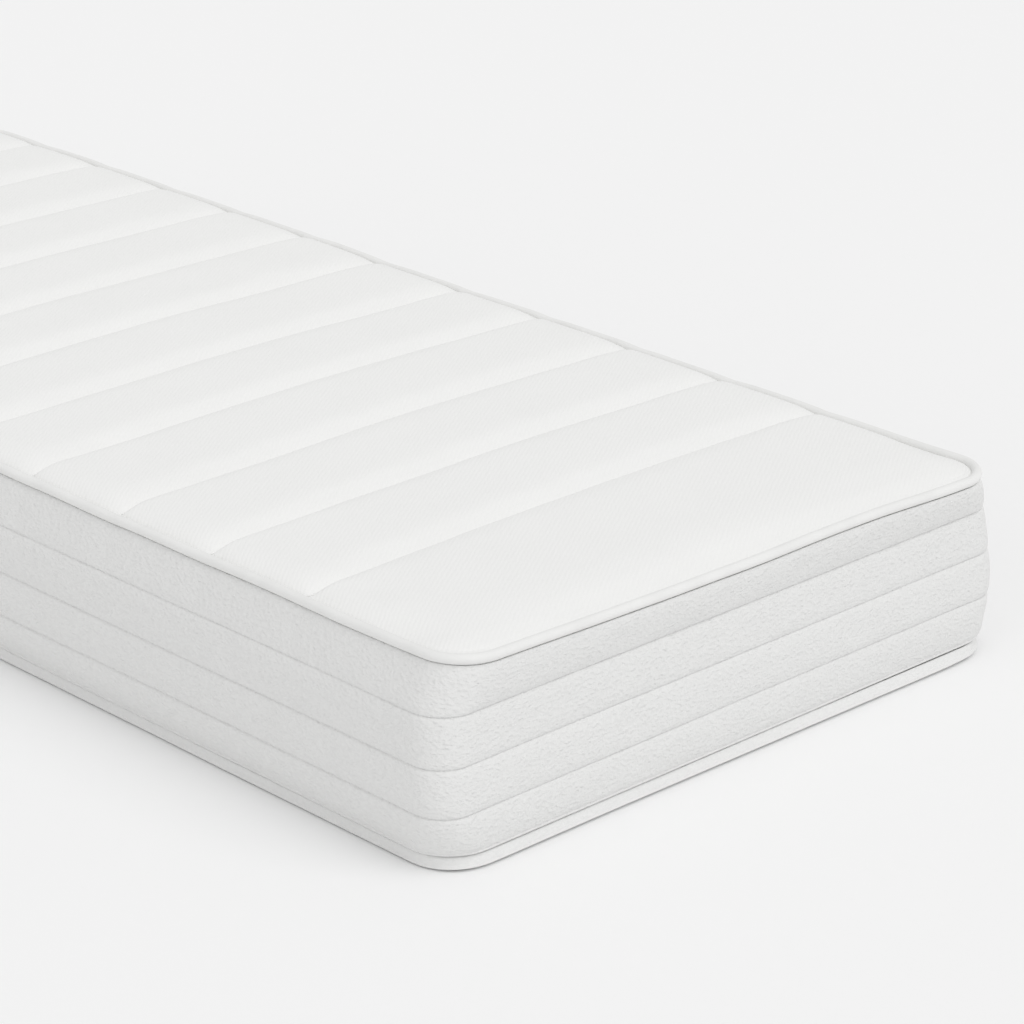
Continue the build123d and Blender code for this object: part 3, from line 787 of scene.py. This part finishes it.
def inflate(obj, sewn, cap):
    """Lets the free cloth between the sewn points swell under pressure, then keeps that shape."""
    cloth = add_cloth(obj, sewn)
    smoothing = [m for m in obj.modifiers if m.type == "SUBSURF"]
    for m in smoothing:
        m.show_viewport = False
    scene = bpy.context.scene
    for f in range(1, LAST_FRAME + 1):
        scene.frame_set(f)
    evaluated = obj.evaluated_get(bpy.context.evaluated_depsgraph_get())
    rest = vertex_places(obj.data)
    move = vertex_places(evaluated.data) - rest
    size = np.linalg.norm(move, axis=1)
    move *= np.minimum(1, cap / np.maximum(size, 1e-9))[:, None]
    obj.modifiers.remove(cloth)
    obj.data.vertices.foreach_set("co", (rest + move).ravel())
    obj.data.update()
    for m in smoothing:
        m.show_viewport = True
    scene.frame_set(1)


# ---- materials ---------------------------------------------------------------
def material(name, color, roughness=0.85, sheen=0.0):
    """A new material with its nodes, links and shader."""
    mat = bpy.data.materials.new(name)
    mat.use_nodes = True
    nodes, links = mat.node_tree.nodes, mat.node_tree.links
    shader = nodes["Principled BSDF"]
    shader.inputs["Base Color"].default_value = (*color, 1)
    shader.inputs["Roughness"].default_value = roughness
    shader.inputs["Specular IOR Level"].default_value = 0.25
    shader.inputs["Sheen Weight"].default_value = sheen
    shader.inputs["Sheen Roughness"].default_value = 0.6
    return mat, nodes, links, shader


def coordinates(nodes, links, scale=(1, 1, 1), turn=(0, 0, 0)):
    """Object coordinates in metres, scaled and turned."""
    coord = nodes.new("ShaderNodeTexCoord")
    mapping = nodes.new("ShaderNodeMapping")
    mapping.inputs["Scale"].default_value = scale
    mapping.inputs["Rotation"].default_value = turn
    links.new(coord.outputs["Object"], mapping.inputs["Vector"])
    return mapping.outputs["Vector"]


def noise(nodes, links, vector, scale, detail=2.0, rough=0.5):
    """A noise value of about scale grains to the metre."""
    tex = nodes.new("ShaderNodeTexNoise")
    tex.inputs["Scale"].default_value = scale
    tex.inputs["Detail"].default_value = detail
    tex.inputs["Roughness"].default_value = rough
    links.new(vector, tex.inputs["Vector"])
    return tex.outputs["Fac"]


def bump(nodes, links, height, strength, distance, normal=None):
    """Bump from a height, on top of an earlier normal if there is one."""
    node = nodes.new("ShaderNodeBump")
    node.inputs["Strength"].default_value = strength
    node.inputs["Distance"].default_value = distance
    links.new(height, node.inputs["Height"])
    if normal is not None:
        links.new(normal, node.inputs["Normal"])
    return node.outputs["Normal"]


def tint(nodes, links, shader, factor, dark, light):
    """Lets the base colour run from dark to light with a factor."""
    ramp = nodes.new("ShaderNodeValToRGB")
    ramp.color_ramp.elements[0].position = 0.3
    ramp.color_ramp.elements[1].position = 0.7
    ramp.color_ramp.elements[0].color = (*dark, 1)
    ramp.color_ramp.elements[1].color = (*light, 1)
    links.new(factor, ramp.inputs["Fac"])
    links.new(ramp.outputs["Color"], shader.inputs["Base Color"])


def shade(color, k):
    """The colour made k times as bright."""
    return tuple(min(c * k, 1) for c in color)


WHITE = (0.875, 0.875, 0.865)
# white of the border and the band, darker than the top's: partly the cloth's own colour, partly painted shade
# that keeps the upright sides darker than the top
BORDER_WHITE_AND_SHADE = (0.79, 0.79, 0.783)


def top_cloth():
    """Fine knit with faint slanting ribs."""
    mat, nodes, links, shader = material("top_knit", WHITE, 0.9, 0.1)
    flat = coordinates(nodes, links)
    ribs = nodes.new("ShaderNodeTexWave")
    ribs.wave_type = "BANDS"
    ribs.bands_direction = "X"
    ribs.inputs["Scale"].default_value = 60.0
    ribs.inputs["Distortion"].default_value = 2.2
    ribs.inputs["Detail"].default_value = 2.0
    ribs.inputs["Detail Scale"].default_value = 1.5
    slanted = coordinates(nodes, links, turn=(0, 0, math.radians(56)))
    links.new(slanted, ribs.inputs["Vector"])
    knit = noise(nodes, links, flat, 900, 2, 0.6)
    soft = noise(nodes, links, flat, 220, 2, 0.5)
    n = bump(nodes, links, ribs.outputs["Fac"], 0.3, 0.0006)
    n = bump(nodes, links, soft, 0.4, 0.0007, n)
    n = bump(nodes, links, knit, 0.5, 0.0004, n)
    links.new(n, shader.inputs["Normal"])
    tint(nodes, links, shader, noise(nodes, links, flat, 14, 3), shade(WHITE, 0.995), shade(WHITE, 1.005))
    return mat


def crepe_cloth(name, depth):
    """Pebbled crepe: small rounded cells a little longer than they are high."""
    mat, nodes, links, shader = material(name, BORDER_WHITE_AND_SHADE, 0.88, 0.08)
    flat = coordinates(nodes, links, scale=(1, 1, 1.5))
    warp = nodes.new("ShaderNodeTexNoise")
    warp.inputs["Scale"].default_value = 160
    links.new(flat, warp.inputs["Vector"])
    mix = nodes.new("ShaderNodeMix")
    mix.data_type = "VECTOR"
    mix.inputs["Factor"].default_value = 0.004
    links.new(flat, mix.inputs["A"])
    links.new(warp.outputs["Color"], mix.inputs["B"])
    cells = nodes.new("ShaderNodeTexVoronoi")
    cells.feature = "SMOOTH_F1"
    cells.inputs["Scale"].default_value = 190
    cells.inputs["Smoothness"].default_value = 0.35
    links.new(mix.outputs["Result"], cells.inputs["Vector"])
    grain = noise(nodes, links, flat, 185, 1.5, 0.45)
    fine = noise(nodes, links, flat, 1300, 1, 0.5)
    n = bump(nodes, links, cells.outputs["Distance"], -1.0 * depth, 0.0034)
    n = bump(nodes, links, grain, 0.9 * depth, 0.0026, n)
    n = bump(nodes, links, fine, 0.3 * depth, 0.0003, n)
    links.new(n, shader.inputs["Normal"])
    tint(nodes, links, shader, grain, shade(BORDER_WHITE_AND_SHADE, 0.98), shade(BORDER_WHITE_AND_SHADE, 1.01))
    return mat


def fine_cloth(name, color, scale, depth, roughness=0.88):
    """Close plain cloth: a small grain with a soft variation over it."""
    mat, nodes, links, shader = material(name, color, roughness, 0.08)
    flat = coordinates(nodes, links)
    n = bump(nodes, links, noise(nodes, links, flat, scale, 2), depth, 0.0004)
    n = bump(nodes, links, noise(nodes, links, flat, scale / 8, 2), depth, 0.0006, n)
    links.new(n, shader.inputs["Normal"])
    tint(nodes, links, shader, noise(nodes, links, flat, 25, 3), shade(color, 0.97), shade(color, 1.01))
    return mat


def foam(name, color, scale):
    """Open-cell foam with pores; the pits of the pores carry painted shade."""
    mat, nodes, links, shader = material(name, color, 0.95)
    flat = coordinates(nodes, links)
    pores = nodes.new("ShaderNodeTexVoronoi")
    pores.inputs["Scale"].default_value = scale
    links.new(flat, pores.inputs["Vector"])
    n = bump(nodes, links, pores.outputs["Distance"], 0.6, 0.001)
    links.new(n, shader.inputs["Normal"])
    # the pits of the pores are painted darker: painted shade in the pores
    tint(nodes, links, shader, pores.outputs["Distance"], shade(color, 0.8), color)
    return mat


def lacquer(name, color):
    """White lacquer over cast metal, slightly uneven in colour and surface."""
    mat, nodes, links, shader = material(name, color, 0.35)
    shader.inputs["Coat Weight"].default_value = 0.3
    flat = coordinates(nodes, links)
    n = bump(nodes, links, noise(nodes, links, flat, 500, 2), 0.12, 0.0003)
    links.new(n, shader.inputs["Normal"])
    tint(nodes, links, shader, noise(nodes, links, flat, 60, 4), shade(color, 0.93), color)
    return mat


def coil_plastic():
    """Nylon coil: a tooth every 2 mm or so, with painted shade in the hollows of its bump."""
    mat, nodes, links, shader = material("zip_coil", (0.8, 0.8, 0.78), 0.45)
    flat = coordinates(nodes, links)
    teeth = nodes.new("ShaderNodeTexVoronoi")
    teeth.inputs["Scale"].default_value = 480
    links.new(flat, teeth.inputs["Vector"])
    n = bump(nodes, links, teeth.outputs["Distance"], 0.8, 0.001)
    links.new(n, shader.inputs["Normal"])
    # the hollows of the bump are painted darker: painted shade
    tint(nodes, links, shader, teeth.outputs["Distance"], (0.6, 0.6, 0.58), (0.82, 0.82, 0.8))
    return mat


MATERIALS = {
    "top_knit": top_cloth(),
    "border_knit": crepe_cloth("border_knit", 1.0),
    "band_cloth": crepe_cloth("band_cloth", 0.5),
    "piping_cloth": fine_cloth("piping_cloth", (0.83, 0.83, 0.82), 800, 0.35),
    "underside_cloth": fine_cloth("underside_cloth", (0.78, 0.78, 0.76), 500, 0.5),
    # lighter than the cloth: partly the thread's own colour, partly a painted highlight that makes a bright
    # line along the quilting seams
    "thread": fine_cloth("thread", (0.93, 0.93, 0.92), 2500, 0.5, 0.6),
    "zip_tape": fine_cloth("zip_tape", (0.8, 0.8, 0.79), 1200, 0.5),
    "zip_coil": coil_plastic(),
    "zip_metal": lacquer("zip_metal", (0.78, 0.78, 0.76)),
    "sleeve_knit": fine_cloth("sleeve_knit", (0.85, 0.85, 0.84), 1000, 0.5),
    "wadding": fine_cloth("wadding", (0.88, 0.88, 0.88), 250, 0.8),
    "backing": fine_cloth("backing", (0.84, 0.84, 0.84), 1500, 0.3),
    "label_cloth": fine_cloth("label_cloth", (0.88, 0.88, 0.87), 1800, 0.2, 0.6),
    "cord_core": fine_cloth("cord_core", (0.85, 0.84, 0.82), 700, 0.6),
    "foam_base": foam("foam_base", (0.8, 0.8, 0.77), 900),
    "foam_comfort": foam("foam_comfort", (0.72, 0.77, 0.83), 1000),
    "foam_memory": foam("foam_memory", (0.86, 0.82, 0.7), 1300),
}


def finish_piece(obj, slot, *nodes):
    """Gives a piece the material of its slot and its body, and hides the CAD nodes it stands for."""
    obj.data.materials.clear()
    obj.data.materials.append(MATERIALS[slot])
    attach(obj, "mattress")
    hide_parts(*nodes)


for part in frame["record"]["subparts"]:
    node = frame["nodes"][part["node"]]
    node.data.materials.clear()
    node.data.materials.append(MATERIALS[part["material_slot"]])

# ---- build -------------------------------------------------------------------
top, seam_lines, top_sewn = make_top()
inflate(top, top_sewn, TOP_CAP)
finish_piece(top, "top_knit", "top_ticking", "top_wadding", "top_backing")

seam_lines = [line + np.array([0, 0.8 * MM, 0]) for line in seam_lines]
seam_thread = make_stitches("top_stitches", seam_lines, False, True, **TOP_STITCH)
finish_piece(seam_thread, "thread", "top_quilt_threads")

border, stitch_lines, border_sewn, border_outer = make_border()
inflate(border, border_sewn, BORDER_CAP)
finish_piece(border, "border_knit", "border_ticking", "border_wadding", "border_backing")

border_thread = make_stitches("border_stitches", stitch_lines, True, False, **BORDER_STITCH)
finish_piece(border_thread, "thread", "border_quilt_threads")

piping = tube("piping", 0, 0, PIPE_R, PIPE_SIDES)
finish_piece(piping, "piping_cloth", "piping_cover", "piping_cord")

hem = tube("piping_hem", HEM_OUT, -PIPE_R, HEM_R, HEM_SIDES)
finish_piece(hem, "piping_cloth", "piping_seam_thread")

band = make_band()
finish_piece(band, "band_cloth", "bottom_band", "bottom_band_thread")

underside, underside_cut = make_underside()
finish_piece(underside, "underside_cloth", "bottom_panel")

label, label_cut = make_label(border_outer)
finish_piece(label, "label_cloth", "care_label")

for name in ("zip_slider", "zip_pull_tab", "zip_end_stops"):
    rounded = frame["nodes"][name].modifiers.new("Bevel", "BEVEL")
    rounded.width = 0.25 * MM
    rounded.segments = 2
    rounded.limit_method = "ANGLE"

# ---- floor, light and camera -------------------------------------------------
FLOOR_REACH = 90                  # metres, so that its edge is far outside the photograph's view
FLOOR_GAP = 0.4 * MM              # keeps the floor clear of the underside
WORLD_LIGHT = 0.68
CAMERA_PLACE = (-2.8626, -3.6426, 1.8560)
CAMERA_AZIMUTH, CAMERA_ELEVATION = -43.48, 21.84
CAMERA_LENS = 133.0


def direction(azimuth, elevation):
    """Direction to a place in degrees; azimuth 0 is the foot end and 90 is +X."""
    a, e = math.radians(azimuth), math.radians(elevation)
    return Vector((math.sin(a) * math.cos(e), -math.cos(a) * math.cos(e), math.sin(e)))


def make_floor():
    """A plain pale floor."""
    reach = FLOOR_REACH
    mesh = bpy.data.meshes.new("floor")
    corners = [(-reach, -reach, 0), (reach, -reach, 0), (reach, reach, 0), (-reach, reach, 0)]
    mesh.from_pydata(corners, [], [(0, 1, 2, 3)])
    mesh.materials.append(material("floor_paper", (0.93, 0.93, 0.93), 1.0)[0])
    floor = bpy.data.objects.new("floor", mesh)
    floor.location.z = -FLOOR_GAP
    bpy.context.scene.collection.objects.link(floor)
    return floor


def even_light():
    """White light from all round, and colours shown as they are."""
    world = bpy.data.worlds.new("studio")
    world.use_nodes = True
    background = world.node_tree.nodes["Background"]
    background.inputs["Color"].default_value = (1, 1, 1, 1)
    background.inputs["Strength"].default_value = WORLD_LIGHT
    bpy.context.scene.world = world
    bpy.context.scene.view_settings.view_transform = "Standard"


def sun(name, azimuth, elevation, strength, size):
    """A soft far light; size is its width in degrees."""
    data = bpy.data.lights.new(name, "SUN")
    data.energy = strength
    data.angle = math.radians(size)
    obj = bpy.data.objects.new(name, data)
    obj.rotation_mode = "QUATERNION"
    obj.rotation_quaternion = direction(azimuth, elevation).to_track_quat("Z", "Y")
    bpy.context.scene.collection.objects.link(obj)


def place_camera():
    """The camera at the photograph's viewing angle."""
    data = bpy.data.cameras.new("camera")
    data.sensor_width = 36
    data.lens = CAMERA_LENS
    camera = bpy.data.objects.new("camera", data)
    camera.location = CAMERA_PLACE
    camera.rotation_mode = "QUATERNION"
    camera.rotation_quaternion = (-direction(CAMERA_AZIMUTH, CAMERA_ELEVATION)).to_track_quat("-Z", "Y")
    bpy.context.scene.collection.objects.link(camera)
    bpy.context.scene.camera = camera


make_floor()
even_light()
sun("key", 8, 54, 1.0, 50)
sun("left_fill", -80, 20, 0.21, 40)
place_camera()
